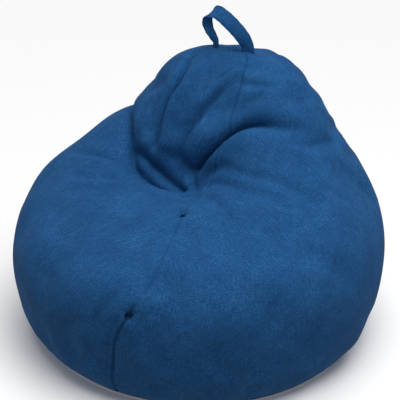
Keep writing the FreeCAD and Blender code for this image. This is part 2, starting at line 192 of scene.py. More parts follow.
def new_object(name, vertices, faces, material, uvs=None):
    """A smooth mesh object. uvs is one pair for each vertex."""
    mesh = bpy.data.meshes.new(name)
    mesh.from_pydata(np.asarray(vertices, float).tolist(), [], [[int(i) for i in face] for face in faces])
    if uvs is not None:
        layer = mesh.uv_layers.new(name="weave")
        corners = np.zeros(len(mesh.loops), np.int32)
        mesh.loops.foreach_get("vertex_index", corners)
        layer.data.foreach_set("uv", np.asarray(uvs, np.float32)[corners].ravel())
    mesh.materials.append(material)
    mesh.polygons.foreach_set("use_smooth", [True] * len(mesh.polygons))
    mesh.update()
    return linked(name, mesh)


def grid_faces(rows, columns, closed=False):
    """Quads of a grid of rows by columns, joined round if it is closed."""
    across = columns if closed else columns - 1
    r, c = np.meshgrid(np.arange(rows - 1), np.arange(across), indexing="ij")
    r, c = r.ravel(), c.ravel()
    following = (c + 1) % columns
    return np.stack([r * columns + c, r * columns + following,
                     (r + 1) * columns + following, (r + 1) * columns + c], 1)


def ring_normals(grid):
    """Outward normals of a grid that closes round. They turn straight up at the crown, where rings crowd."""
    around = np.roll(grid, -1, 1) - np.roll(grid, 1, 1)
    upward = np.gradient(grid, axis=0)
    top = smooth(grid[..., 2:], CROWN_TOP - 0.022, CROWN_TOP - 0.006)
    return unit(unit(np.cross(around, upward)) * (1 - top) + np.array([0.0, 0.0, 1.0]) * top)


def subdivide(made):
    """Subdivides the object's mesh once, for good."""
    modifier = made.modifiers.new("subdivision", "SUBSURF")
    modifier.levels = 1
    modifier.render_levels = 1
    bpy.context.view_layer.update()
    evaluated = made.evaluated_get(bpy.context.evaluated_depsgraph_get())
    mesh = bpy.data.meshes.new_from_object(evaluated)
    made.modifiers.clear()
    old = made.data
    made.data = mesh
    bpy.data.meshes.remove(old)
    mesh.name = made.name


def bar_faces(rings, count):
    """Faces of a bar made of rings of count vertices: its sides and its two ends."""
    faces = grid_faces(rings, count, closed=True).tolist()
    faces.append(list(range(count))[::-1])
    faces.append([(rings - 1) * count + i for i in range(count)])
    return faces


def tube(line, radius, sides):
    """Vertices and faces of a tube round a line of points, with closed ends. radius may vary along it."""
    line = np.asarray(line, float)
    radius = np.broadcast_to(radius, len(line))
    tangent = unit(np.gradient(line, axis=0))
    side = np.zeros_like(tangent)
    previous = np.array([0.0, 0.0, 1.0]) if abs(tangent[0, 2]) < 0.9 else np.array([1.0, 0.0, 0.0])
    for i, direction in enumerate(tangent):
        previous = unit(previous - direction * np.dot(previous, direction))
        side[i] = previous
    other = np.cross(tangent, side)
    angles = 2 * math.pi * np.arange(sides) / sides
    rings = (line[:, None] + radius[:, None, None] * (np.cos(angles)[None, :, None] * side[:, None]
                                                      + np.sin(angles)[None, :, None] * other[:, None]))
    return rings.reshape(-1, 3), bar_faces(len(line), sides)


def joined(parts):
    """Several (vertices, faces) as one."""
    vertices, faces, start = [], [], 0
    for points, polygons in parts:
        vertices.append(points)
        faces += [[start + i for i in polygon] for polygon in polygons]
        start += len(points)
    return np.concatenate(vertices), faces


def fan(ring, count, point, inward=False):
    """Triangles from the ring of count vertices that starts at one index to a single point."""
    corners = [[ring + i, ring + (i + 1) % count] for i in range(count)]
    return [(pair[::-1] if inward else pair) + [point] for pair in corners]


def soft_piece(made, node):
    """Hides a CAD node and hangs the piece that stands in its place on the bag."""
    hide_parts(node)
    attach(made, "bag")


def stitches(line, normals, lift=0.0002):
    """A row of stitches along a line on the cloth: each is a short bent thread whose ends dip into it."""
    along = line_length(line)
    parts = []
    for start in np.arange(STITCH_PITCH / 2, along[-1] - STITCH_PITCH, STITCH_PITCH):
        at = np.linspace(start, start + STITCH_LENGTH, 5)
        points = np.stack([np.interp(at, along, line[:, i]) for i in range(3)], 1)
        out = unit(np.stack([np.interp(at, along, normals[:, i]) for i in range(3)], 1))
        height = lift + STITCH_RADIUS * np.array([-1.6, 0.3, 0.6, 0.3, -1.6])
        parts.append(tube(points + out * height[:, None], STITCH_RADIUS * np.array([0.6, 1, 1, 1, 0.6]), 5))
    return joined(parts)


# ---------------------------------------------------------------- materials

def new_material(name):
    material = bpy.data.materials.new(name)
    material.use_nodes = True
    return material, material.node_tree, material.node_tree.nodes["Principled BSDF"]


def arithmetic(tree, operation, first, second):
    made = tree.nodes.new("ShaderNodeMath")
    made.operation = operation
    for socket, value in zip(made.inputs, (first, second)):
        if isinstance(value, (int, float)):
            socket.default_value = value
        else:
            tree.links.new(value, socket)
    return made.outputs[0]


def weighted(tree, *terms):
    """The sum of outputs, each times its weight."""
    total = None
    for output, weight in terms:
        term = arithmetic(tree, "MULTIPLY", output, weight)
        total = term if total is None else arithmetic(tree, "ADD", total, term)
    return total


def noise(tree, coordinates, scale, detail=2.0, roughness=0.5):
    """Noise on coordinates, with a scale for each axis."""
    mapping = tree.nodes.new("ShaderNodeMapping")
    mapping.inputs["Scale"].default_value = scale
    made = tree.nodes.new("ShaderNodeTexNoise")
    made.inputs["Scale"].default_value = 1.0
    made.inputs["Detail"].default_value = detail
    made.inputs["Roughness"].default_value = roughness
    tree.links.new(coordinates, mapping.inputs["Vector"])
    tree.links.new(mapping.outputs[0], made.inputs["Vector"])
    return made.outputs[0]


def colour_ramp(tree, value, stops):
    made = tree.nodes.new("ShaderNodeValToRGB")
    elements = made.color_ramp.elements
    while len(elements) < len(stops):
        elements.new(0.5)
    for element, (place, colour) in zip(elements, stops):
        element.position = place
        element.color = (*colour, 1.0)
    tree.links.new(value, made.inputs[0])
    return made.outputs[0]


def bumped(tree, shader, height, strength, distance):
    bump = tree.nodes.new("ShaderNodeBump")
    bump.inputs["Strength"].default_value = strength
    bump.inputs["Distance"].default_value = distance
    tree.links.new(height, bump.inputs["Height"])
    tree.links.new(bump.outputs[0], shader.inputs["Normal"])


def woven(name, dark, middle, light, pitch=0.0011, slub=0.024, use_uv=True):
    """Plain weave of slubby yarns: noise drawn out along each yarn direction, flecks of fibre,
    a slow unevenness of the dye, and the over and under of the threads as relief."""
    material, tree, shader = new_material(name)
    coordinates = tree.nodes.new("ShaderNodeTexCoord")
    place = coordinates.outputs["UV" if use_uv else "Object"]
    across, along = 1.0 / pitch, 1.0 / slub
    weft = noise(tree, place, (along, across, across), 3.0, 0.6)
    warp = noise(tree, place, (across, along, across), 3.0, 0.6)
    flecks = noise(tree, place, (across / 3, across / 3, across / 3), 2.0, 0.6)
    dye = noise(tree, coordinates.outputs["Object"], (16.0, 16.0, 16.0), 3.0, 0.55)
    yarns = weighted(tree, (weft, 0.42), (warp, 0.58))
    tone = weighted(tree, (yarns, 0.58), (dye, 0.12), (flecks, 0.30))
    colour = colour_ramp(tree, tone, [(0.38, dark), (0.5, middle), (0.62, light)])
    tree.links.new(colour, shader.inputs["Base Color"])
    weave = tree.nodes.new("ShaderNodeTexChecker")
    weave.inputs["Scale"].default_value = across
    weave.inputs["Color1"].default_value = (1.0, 1.0, 1.0, 1.0)
    weave.inputs["Color2"].default_value = (0.0, 0.0, 0.0, 1.0)
    tree.links.new(place, weave.inputs["Vector"])
    height = weighted(tree, (weave.outputs["Fac"], 0.3), (yarns, 1.0))
    bumped(tree, shader, height, 0.6, pitch * 0.6)
    shader.inputs["Roughness"].default_value = 0.9
    shader.inputs["Specular IOR Level"].default_value = 0.15
    shader.inputs["Sheen Weight"].default_value = 0.12
    shader.inputs["Sheen Roughness"].default_value = 0.5
    shader.inputs["Sheen Tint"].default_value = (*light, 1.0)
    return material


def solid(name, colour, second, roughness, metallic=0.0, grain=0.0025, relief=0.0002):
    """Plastic, metal or foam: fine mottling, uneven gloss and a slightly uneven surface."""
    material, tree, shader = new_material(name)
    coordinates = tree.nodes.new("ShaderNodeTexCoord")
    mottle = noise(tree, coordinates.outputs["Object"], (1 / grain, 1 / grain, 1 / grain), 3.0, 0.6)
    tree.links.new(colour_ramp(tree, mottle, [(0.35, colour), (0.7, second)]), shader.inputs["Base Color"])
    gloss = arithmetic(tree, "ADD", arithmetic(tree, "MULTIPLY", mottle, 0.25), roughness - 0.12)
    tree.links.new(gloss, shader.inputs["Roughness"])
    bumped(tree, shader, mottle, 0.4, relief)
    shader.inputs["Metallic"].default_value = metallic
    return material


BLUE_DARK = (0.0038, 0.038, 0.124)
BLUE = (0.0096, 0.072, 0.207)
BLUE_LIGHT = (0.0300, 0.150, 0.370)
cover_cloth = woven("cover_cloth", BLUE_DARK, BLUE, BLUE_LIGHT)
thread_cotton = woven("thread_cotton", (0.003, 0.026, 0.085), (0.008, 0.058, 0.17), (0.02, 0.10, 0.27),
                      pitch=0.0004, use_uv=False)
# Bar tack thread, far darker than the cover: painted shade standing for the shade in the puckers' dimples
tack_thread = woven("tack_thread", (0.001, 0.006, 0.020), (0.003, 0.018, 0.056), (0.008, 0.04, 0.11),
                    pitch=0.0004, use_uv=False)
liner_cloth = woven("liner_cloth", (0.55, 0.54, 0.50), (0.68, 0.67, 0.63), (0.78, 0.77, 0.74), pitch=0.0007)
tape_cloth = woven("tape_cloth", (0.004, 0.012, 0.035), (0.008, 0.022, 0.060), (0.016, 0.038, 0.095),
                   pitch=0.0006, slub=0.01, use_uv=False)
coil_plastic = solid("coil_plastic", (0.006, 0.016, 0.045), (0.012, 0.028, 0.075), 0.40)
zip_metal = solid("zip_metal", (0.012, 0.022, 0.050), (0.022, 0.040, 0.085), 0.34, metallic=0.7)
bead_foam = solid("bead_foam", (0.80, 0.80, 0.78), (0.92, 0.92, 0.90), 0.75, grain=0.006, relief=0.003)


# ---------------------------------------------------------------- the CAD layers as grids

class Layer:
    """Finds the outside of a CAD layer along rays, and which of its nodes each ray meets."""

    def __init__(self, names):
        vertices, polygons, self.owner = [], [], []
        for name in names:
            mesh = nodes[name].data
            start = len(vertices)
            vertices += [vertex.co.copy() for vertex in mesh.vertices]
            for polygon in mesh.polygons:
                polygons.append([start + index for index in polygon.vertices])
                self.owner.append(name)
        self.tree = BVHTree.FromPolygons(vertices, polygons)

    def look(self, origin, outward):
        hit = self.tree.ray_cast(Vector(origin + outward * RAY_START), Vector(-outward), RAY_START)
        if hit[0] is None:
            return None, None
        return np.array(hit[0]), self.owner[hit[2]]


patch_low, patch_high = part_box("cover_crown_patch")
crown = np.array([(patch_low.x + patch_high.x) / 2, (patch_low.y + patch_high.y) / 2, patch_high.z])
patch_ratio = (patch_high.y - patch_low.y) / (patch_high.x - patch_low.x)


def ray_of(share, turn):
    """Origin and direction of the ray of a row and a column. share is 0 at the floor and 1 at the crown,
    and turn goes from the front through +X. Low rows are level; the others fan out from a spine that
    climbs to the crown, and their rings take the shape of the crown patch on the way."""
    if share < LEVEL_ROWS_SHARE:
        height = max(0.0004, LEVEL_ROWS_TOP * share / LEVEL_ROWS_SHARE)
        return np.array([0.0, 0.0, height]), np.array([math.sin(turn), -math.cos(turn), 0.0])
    climb = (share - LEVEL_ROWS_SHARE) / (1.0 - LEVEL_ROWS_SHARE)
    along_spine = min(climb / SPINE_END_SHARE, 1.0) ** 1.1
    foot = np.array([0.0, 0.0, LEVEL_ROWS_TOP])
    head = np.array([crown[0], crown[1], SPINE_TOP])
    elevation = math.radians(90.0) * climb ** 1.05
    narrow = 1.0 - (1.0 - patch_ratio) * float(smooth(climb, 0.35, 0.75))
    outward = np.array([math.sin(turn) * math.cos(elevation), -math.cos(turn) * math.cos(elevation) * narrow,
                        math.sin(elevation)])
    return foot + (head - foot) * along_spine, outward / np.linalg.norm(outward)


def lay_rows(layer, shares, turns):
    """Points of the layer for each row's share and turns. A ray that slips through a slot gives nothing."""
    grid = np.full((len(shares), turns.shape[1], 3), np.nan)
    for row, share in enumerate(shares):
        for column, turn in enumerate(turns[row]):
            point = layer.look(*ray_of(share, turn))[0]
            if point is not None:
                grid[row, column] = point
    return grid


def mended(grid):
    """Fills the points that slipped through a slot from the rows above and below."""
    low_rows = 30
    radius = np.hypot(grid[:low_rows, :, 0], grid[:low_rows, :, 1])
    missing = np.isnan(grid[..., 0])
    beside = np.nan_to_num(np.abs(radius - np.nanmedian(radius, axis=1)[:, None]), nan=1.0)
    missing[:low_rows] |= beside > 0.03
    rows = np.arange(len(grid))
    for column in np.flatnonzero(missing.any(0)):
        good = ~missing[:, column]
        for axis in range(3):
            grid[:, column, axis] = np.interp(rows, rows[good], grid[good, column, axis])
    return grid


def nodes_middle(name):
    low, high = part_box(name)
    return np.array((low + high) / 2)


cover = Layer(["cover_left_panel", "cover_right_panel", "cover_crown_patch"])


def seam_turn(share):
    """Where the cover's front seam lies in a row, read off the CAD panels."""
    low, high = FRONT_SEAM_SEARCH
    for _ in range(14):
        middle = (low + high) / 2
        if cover.look(*ray_of(share, middle))[1] == "cover_right_panel":
            high = middle
        else:
            low = middle
    return (low + high) / 2


def slot_edges():
    """Heights of the two edges of the cover's slot, at the middle of the back."""
    middle = (nodes_middle("cover_zip_coil_upper") + nodes_middle("cover_zip_coil_lower"))[2] / 2
    back = np.array([0.0, 1.0, 0.0])
    edges = []
    for away in (-0.02, 0.02):
        outside, inside = middle + away, middle
        for _ in range(16):
            height = (outside + inside) / 2
            point = cover.look(np.array([0.0, 0.0, height]), back)[0]
            depth = cover.look(np.array([0.0, 0.0, outside]), back)[0][1]
            if point is not None and abs(point[1] - depth) < 0.006:
                outside = height
            else:
                inside = height
        edges.append(outside)
    return edges


column_even = np.arange(COLUMNS) / COLUMNS
column_share = column_even - SEAM_CROWDING * np.sin(4 * math.pi * column_even) / (4 * math.pi)

trial_shares = np.linspace(0.0, 0.995, 60)
trial_turns = np.tile(np.linspace(0.0, 2 * math.pi, 24, endpoint=False), (len(trial_shares), 1))
trial = lay_rows(cover, trial_shares, trial_turns)
steps = np.nanmedian(np.linalg.norm(np.diff(trial, axis=0), axis=2), axis=1)
row_share = np.interp(np.linspace(0, steps.sum(), ROWS), running(steps), trial_shares)

slot_low, slot_high = slot_edges()
slot_shares = np.array([slot_low, slot_high]) * LEVEL_ROWS_SHARE / LEVEL_ROWS_TOP
slot_rows = [int(np.argmin(np.abs(row_share - share))) for share in slot_shares]
slot_rows[1] = max(slot_rows[1], slot_rows[0] + 2)
row_share[slot_rows[0]:slot_rows[1] + 1] = np.linspace(*slot_shares, slot_rows[1] - slot_rows[0] + 1)

seam_turns = np.array([seam_turn(share) for share in row_share])
patch_rows = [cover.look(*ray_of(share, math.pi / 2))[1] == "cover_crown_patch" for share in row_share]
patch_row = int(np.argmax(patch_rows))
seam_turns[patch_row:] = seam_turns[patch_row - 1]
seam_turns = np.convolve(np.pad(seam_turns, 4, mode="edge"), np.ones(9) / 9, mode="valid")
column_turns = (2 * math.pi * column_share[None]
                + seam_turns[:, None] * (1 + np.cos(2 * math.pi * column_share[None])) / 2)
base_grid = mended(lay_rows(cover, row_share, column_turns))
base_normals = ring_normals(base_grid)
back_angle = np.degrees(np.abs(column_turns % (2 * math.pi) - math.pi))


# ---------------------------------------------------------------- folds worked into the cover

offset = np.zeros_like(base_grid)


def near_line(points, reach):
    """For the grid points near a line drawn on the cover: which they are, their distance from it,
    positive on its left as it is followed, their share along it, and the direction to its left."""
    line = curve_through(np.asarray(points, float) / 1000.0, 160)
    flat = base_grid.reshape(-1, 3)
    inside = np.flatnonzero(((flat > line.min(0) - reach) & (flat < line.max(0) + reach)).all(1))
    gaps = flat[inside][:, None] - line[None]
    distance = np.linalg.norm(gaps, axis=2)
    closest = distance.argmin(1)
    tangent = unit(np.gradient(line, axis=0))[closest]
    normal = base_normals.reshape(-1, 3)[inside]
    left = unit(np.cross(normal, tangent))
    gap = gaps[np.arange(len(inside)), closest]
    side = (gap * left).sum(1)
    size = np.hypot(side, (gap * tangent).sum(1))
    keep = size < reach
    share = line_length(line)[closest] / line_length(line)[-1]
    return inside[keep], (np.sign(side) * size)[keep], share[keep], left[keep], normal[keep]


ROLL_WIDTH = 1.6


def fold(points, depth, width, rolls=(0.0, 0.0), lean=0.0, ends=(0.25, 0.25), sharp=1.6):
    """A crease along a line, in millimetres. depth goes in (or out, if negative), and the rolls stand up
    on its left and right. lean pulls the left side over the crease (or the right, if negative). It dies
    out over the shares of its length in ends."""
    reach = width * (2.5 + 2.5 * ROLL_WIDTH) / 1000.0
    index, distance, share, left, normal = near_line(points, reach)
    d = distance * 1000.0 / width
    strength = smooth(share, 0.0, max(ends[0], 1e-3)) * (1 - smooth(share, 1 - max(ends[1], 1e-3), 1.0))
    height = -depth * np.exp(-np.abs(d) ** sharp)
    height = height + rolls[0] * bell(d - 1.7, ROLL_WIDTH) + rolls[1] * bell(d + 1.7, ROLL_WIDTH)
    pull = -lean * bell(d - math.copysign(1.0, lean), 1.1)
    move = normal * (height * strength)[:, None] + left * (pull * strength)[:, None]
    offset.reshape(-1, 3)[index] += move / 1000.0


def swell(centre, size, height):
    """A soft bump or hollow about a point, in millimetres. size is its reach along X, Y and Z."""
    gap = (base_grid * 1000.0 - np.asarray(centre, float)) / np.asarray(size, float)
    share = np.exp(-(gap ** 2).sum(2))
    offset[...] += share[..., None] * base_normals * height / 1000.0


# Broad form: the hollow under the crown, the crown's front over it, and the two flanks
swell((-10, -58, 434), (120, 50, 60), -30)
swell((-48, -72, 432), (78, 46, 50), -26)
swell((-60, 40, 560), (90, 70, 70), 14)
swell((120, -10, 520), (90, 60, 40), 14)
swell((-175, -60, 455), (60, 60, 50), -12)
swell((-205, 70, 570), (70, 80, 60), -5)
swell((340, 150, 440), (120, 150, 90), -13)
swell((412, 84, 385), (60, 130, 75), -9)
swell((440, 40, 200), (90, 200, 110), 9)
swell((-400, -60, 330), (90, 150, 90), 7)
swell((240, 150, 585), (90, 90, 60), 16)

# Left edge of the crown, down into the hollow
LEFT_EDGE = [(-258, 215, 470), (-276, 150, 492), (-262, 88, 510), (-228, 36, 515), (-192, -12, 492),
             (-162, -52, 460), (-129, -78, 436), (-81, -88, 419), (-31, -90, 409), (25, -90, 407)]
fold(LEFT_EDGE, 28, 12, rolls=(7, 4), lean=8, ends=(0.3, 0.15))
fold(LEFT_EDGE, 20, 36, ends=(0.3, 0.3), sharp=2.0)
# The long fold from the left foot of the handle, whose edge ends in a point over the hollow
fold([(-50, 128, 678), (-70, 112, 662), (-66, 62, 612), (-80, 32, 560), (-90, -8, 505), (-92, -42, 466)],
     22, 12, rolls=(17, 8), lean=8, ends=(0.15, 0.04))
fold([(-20, 112, 674), (-36, 67, 627), (-60, 38, 575), (-74, 6, 525), (-80, -31, 479), (-82, -60, 446)], -9,
     15, ends=(0.2, 0.05))
# Next fold left of it, and the soft one right of it
fold([(-82, 108, 662), (-90, 70, 622), (-116, 42, 570), (-140, 8, 522), (-146, -32, 478)], -9, 20,
     ends=(0.3, 0.15))
fold([(70, 78, 640), (46, 52, 606), (18, 29, 562), (-6, 3, 520), (-24, -24, 482), (-30, -52, 448)], 15, 11,
     rolls=(10, 5), lean=4, ends=(0.3, 0.1))
fold([(30, 70, 636), (2, 46, 590), (-28, 18, 545), (-48, -14, 496), (-52, -46, 456)], -6, 18,
     ends=(0.3, 0.15))
# The deep pocket that curves away to the right under the crown
fold([(-6, -60, 440), (12, -44, 455), (34, -28, 476), (62, -13, 500), (84, 2, 520), (108, 16, 540),
     (138, 28, 554), (170, 36, 556), (206, 42, 547), (238, 40, 530)], 34, 15, rolls=(13, 3), lean=14,
     ends=(0.1, 0.35), sharp=1.8)
# The crown's lower edge, where its folds end over the hollow
fold([(-168, -42, 478), (-132, -48, 467), (-108, -54, 457), (-80, -61, 445), (-50, -68, 432),
     (-14, -75, 421), (18, -82, 413)], 25, 11, rolls=(13, 0), lean=13, ends=(0.2, 0.1))
# Creases in the hollow
fold([(-176, -60, 460), (-140, -74, 446), (-100, -84, 434), (-56, -92, 420), (-4, -98, 406)], 9, 8,
     rolls=(4, 4), lean=3, ends=(0.3, 0.1))
fold([(28, -92, 407), (36, -72, 428), (62, -56, 448), (104, -46, 462), (150, -50, 465)], 9, 11,
     rolls=(3, 3), ends=(0.15, 0.5))
fold([(2, -52, 448), (14, -66, 430), (28, -86, 412)], 12, 8, rolls=(4, 4), ends=(0.3, 0.15))
# Cross wrinkles on the right of the crown
fold([(80, 66, 626), (112, 72, 626), (146, 82, 624), (180, 102, 622)], 7, 9, rolls=(3, 5), lean=3,
     ends=(0.2, 0.35))
fold([(176, 92, 612), (150, 72, 606), (126, 54, 590), (100, 36, 570), (84, 26, 556)], 6, 10, rolls=(4, 4),
     ends=(0.25, 0.3))
fold([(150, 128, 652), (186, 116, 624), (216, 108, 590), (246, 100, 552), (262, 92, 520)], 7, 18,
     rolls=(5, 6), ends=(0.25, 0.4))
# Soft wrinkles on the left lobe and behind the front lip
fold([(-310, -143, 388), (-220, -160, 406), (-161, -142, 412), (-106, -126, 406), (-70, -100, 412)], 8, 13,
     rolls=(4, 5), lean=3, ends=(0.4, 0.2))
fold([(-250, -192, 390), (-190, -196, 396), (-140, -192, 399), (-72, -140, 395), (-30, -112, 398)], 6, 13,
     rolls=(3, 4), ends=(0.4, 0.15))
fold([(-326, -77, 409), (-259, -86, 432), (-204, -87, 439), (-161, -90, 435), (-130, -86, 434)], 8, 12,
     rolls=(3, 5), lean=3, ends=(0.4, 0.2))
fold([(110, -60, 452), (150, -62, 458), (200, -60, 462), (280, -50, 452), (330, -40, 430)], 4, 13,
     rolls=(3, 2), ends=(0.3, 0.5))
fold([(66, -84, 424), (128, -84, 438), (200, -94, 440), (284, -86, 432)], 4, 14, rolls=(3, 2),
     ends=(0.25, 0.5))
fold([(58, -110, 402), (110, -130, 412), (170, -160, 410), (230, -190, 396)], 3, 15, rolls=(2, 2),
     ends=(0.25, 0.5))
# The shoulder on the right, and folds at the back that run down from the crown
fold([(304, 176, 498), (296, 120, 506), (280, 70, 510), (256, 26, 508)], 4, 22, rolls=(3, 3),
     ends=(0.4, 0.4))
for x, lean_x, depth in ((-96, -1.25, 9), (-40, -0.55, 7), (10, 0.1, 8), (58, 0.7, 6), (104, 1.2, 9)):
    fold([(x * 0.55 + 6, 172, 672), (x, 216, 630), (x + 30 * lean_x, 262, 560), (x + 62 * lean_x, 306, 470),
         (x + 84 * lean_x, 340, 390)], depth, 15, rolls=(4, 4), lean=2, ends=(0.15, 0.6))
# The front lip of the seat
fold([(-240, -232, 372), (-150, -233, 388), (-80, -209, 394), (-39, -150, 391), (-4, -108, 398)], -6, 30,
     ends=(0.4, 0.2))


def settled_beads(points, seed, cells, height):
    """Slow unevenness where the beads have settled, from a few smooth waves."""
    source = np.random.default_rng(seed)
    total = np.zeros(points.shape[:-1])
    for _ in range(cells):
        wave = source.normal(size=3)
        wave *= source.uniform(14.0, 46.0) / np.linalg.norm(wave)
        total += np.sin(points @ wave + source.uniform(0, 2 * math.pi)) / cells ** 0.5
    return total * height


still = np.maximum(1 - smooth(base_grid[..., 2], 0.012, 0.06),
                   (1 - smooth(base_grid[..., 2], 0.07, 0.11)) * (1 - smooth(back_angle, 37, 46)))
offset *= (1 - 0.85 * smooth(base_grid[..., 2], 0.650, 0.674))[..., None]
offset = smoothed_once(smoothed_once(offset))
offset += base_normals * (settled_beads(base_grid, 5, 16, 0.0022) * (1 - still))[..., None]
offset *= (1 - still)[..., None]
sculpted = base_grid + offset


# ---------------------------------------------------------------- cloth simulation

SETTLE_FRAMES = 18
SETTLE_CAP = 0.016
SETTLE_BLUR = 60
SETTLE_SPARE = -0.035
SETTLE_PRESSURE = 3.0
SETTLE_EVERY = 2


def settle(grid, hold):
    """Runs the cover as cloth with a little spare fabric, pressed out by the beads, so that the folds
    round off and tension wrinkles form. hold is 1 where the cloth can't move. The move is capped, and the
    broad swelling is taken off it, so that the bag keeps its size."""
    rows = np.append(np.arange(0, ROWS - 1, SETTLE_EVERY), ROWS - 1)
    columns = np.arange(0, COLUMNS, SETTLE_EVERY)
    coarse = grid[rows][:, columns]
    faces = grid_faces(*coarse.shape[:2], closed=True)
    made = new_object("settling", coarse.reshape(-1, 3), faces, cover_cloth)
    group = made.vertex_groups.new(name="held")
    for index, weight in enumerate(hold[rows][:, columns].ravel()):
        group.add([index], float(weight), "REPLACE")
    modifier = made.modifiers.new("cloth", "CLOTH")
    cloth = modifier.settings
    cloth.quality = 5
    cloth.mass = 0.25
    cloth.tension_stiffness = 30.0
    cloth.compression_stiffness = 12.0
    cloth.shear_stiffness = 8.0
    cloth.bending_stiffness = 0.8
    cloth.use_pressure = True
    cloth.uniform_pressure_force = SETTLE_PRESSURE
    cloth.shrink_min = SETTLE_SPARE
    cloth.vertex_group_mass = "held"
    cloth.effector_weights.gravity = 0.0
    modifier.collision_settings.use_collision = False
    modifier.collision_settings.use_self_collision = False
    modifier.point_cache.frame_end = SETTLE_FRAMES
    scene = bpy.context.scene
    for number in range(1, SETTLE_FRAMES + 1):
        scene.frame_set(number)
    evaluated = made.evaluated_get(bpy.context.evaluated_depsgraph_get())
    moved = np.zeros(coarse.size, np.float32)
    evaluated.data.vertices.foreach_get("co", moved)
    scene.frame_set(1)
    bpy.data.objects.remove(made)
    move = moved.reshape(coarse.shape) - coarse
    size = np.linalg.norm(move, axis=2, keepdims=True)
    move = move * np.minimum(1.0, SETTLE_CAP / np.maximum(size, 1e-9))
    swelling = move
    for _ in range(SETTLE_BLUR):
        swelling = smoothed_once(swelling)
    return grid + refined(move - swelling, rows, columns)


def refined(values, rows, columns):
    """Values on the coarse grid spread over the whole grid, and smoothed between its points."""
    wide = np.concatenate([values, values[:, :1]], axis=1)
    places = np.append(columns, COLUMNS)
    full = np.zeros((ROWS, COLUMNS, 3))
    for axis in range(3):
        across = np.array([np.interp(np.arange(COLUMNS), places, row) for row in wide[..., axis]])
        full[..., axis] = np.array([np.interp(np.arange(ROWS), rows, column) for column in across.T]).T
    return smoothed_once(smoothed_once(full))


feet_height = smooth(sculpted[..., 2], 0.650, 0.676)
hold = np.clip(np.maximum(np.maximum(still, feet_height), 0.12), 0, 1)
settled = settle(sculpted, hold)


# ---------------------------------------------------------------- seams in the cover

def arc_from_seam(grid, column):
    """Distance along each row from a seam's column, positive the way the columns count."""
    rolled = np.roll(grid, -column, axis=1)
    steps = np.linalg.norm(np.roll(rolled, -1, axis=1) - rolled, axis=2)
    forward = running(steps, axis=1)[:, :-1]
    signed = np.where(np.arange(grid.shape[1])[None] <= grid.shape[1] // 2, forward,
                      forward - steps.sum(1, keepdims=True))
    return np.roll(signed, column, axis=1)


def up_from_floor(grid):
    return running(np.linalg.norm(np.diff(grid, axis=0), axis=2))


seam_normals = ring_normals(settled)
height_up = up_from_floor(settled)
front_arc = arc_from_seam(settled, 0)
back_arc = arc_from_seam(settled, COLUMNS // 2)
free = 1 - still
finished = settled.copy()
for arc in (front_arc, back_arc):
    groove = -SEAM_GROOVE * bell(arc, SEAM_GROOVE_WIDTH)
    ladder = 0.0007 * np.sin(2 * math.pi * height_up / 0.017) * bell(arc, 0.016)
    cover_roll = 0.0012 * bell(np.abs(arc) - 0.009, 0.007)
    finished += seam_normals * ((groove + ladder + cover_roll) * (0.25 + 0.75 * free))[..., None]

# Below the second pucker the front seam is felled: a flat raised band on its left, with an edge of its own.
band_share = 1 - smooth(settled[..., 2], BAND_TOP - 0.012, BAND_TOP)
band_share = band_share * smooth(settled[..., 2], 0.0, 0.006)
across = -front_arc
band = smooth(across, 0.0005, 0.003) * (1 - smooth(across, BAND_WIDTH - 0.002, BAND_WIDTH + 0.0005))
edge = (-0.0018 * bell(across - BAND_WIDTH - 0.0015, 0.0024)
        - 0.0030 * bell(across + 0.0015, 0.0028))
finished += seam_normals * ((BAND_RAISE * band + edge) * band_share)[..., None]

# Puckers where the seam is caught: a small deep dimple with short radiating creases.
tack_rows = []
for place, depth, reach, _ in PUCKERS:
    row_near = int(np.argmin(np.linalg.norm(settled[:, 0] - np.array(place), axis=1)))
    tack_rows.append(row_near)
    size = np.linalg.norm(settled - settled[row_near, 0], axis=2)
    angle = np.arctan2(front_arc, height_up - height_up[row_near, 0])
    star = 1 + 0.5 * np.cos(5 * angle + 0.6)
    dimple = depth * np.exp(-(size / reach) ** 1.4)
    creases = 0.0022 * star * bell(size - reach, reach * 1.6)
    finished -= seam_normals * (dimple + creases)[..., None]

# Seam round the crown patch
patch_up = height_up - height_up[patch_row][None]
finished += seam_normals * (-0.0016 * bell(patch_up, 0.004)
                            + 0.0010 * bell(np.abs(patch_up) - 0.008, 0.005))[..., None]
finished[..., 2] = np.maximum(finished[..., 2], 0.0003)


# ---------------------------------------------------------------- the cover's pieces

def weave_of(grid):
    """Where each point of a panel lies on its flat cloth: across from the panel's middle, and up."""
    across = running(np.linalg.norm(np.diff(grid, axis=1), axis=2), axis=1)
    across -= across[:, [grid.shape[1] // 2]]
    return np.stack([across, up_from_floor(grid)], axis=2).reshape(-1, 2)


def panel_columns(side):
    half = COLUMNS // 2
    return np.arange(0, half + 1) if side == "right" else np.arange(half, COLUMNS + 1) % COLUMNS


def in_slot(angles):
    """Faces of a panel that lie in the zip's slot, from the angles of its points from the back."""
    face_angle = (angles[:-1, :-1] + angles[1:, 1:]) / 2
    row = np.arange(len(face_angle))[:, None]
    return (row >= slot_rows[0]) & (row < slot_rows[1]) & (face_angle < SLOT_HALF_ANGLE)


for side in ("left", "right"):
    columns = panel_columns(side)
    part = finished[:patch_row + 1][:, columns]
    faces = grid_faces(*part.shape[:2])
    faces = faces[~in_slot(back_angle[:patch_row + 1][:, columns]).ravel()]
    panel = new_object(f"cover_{side}", part.reshape(-1, 3), faces, cover_cloth, weave_of(part))
    soft_piece(panel, f"cover_{side}_panel")

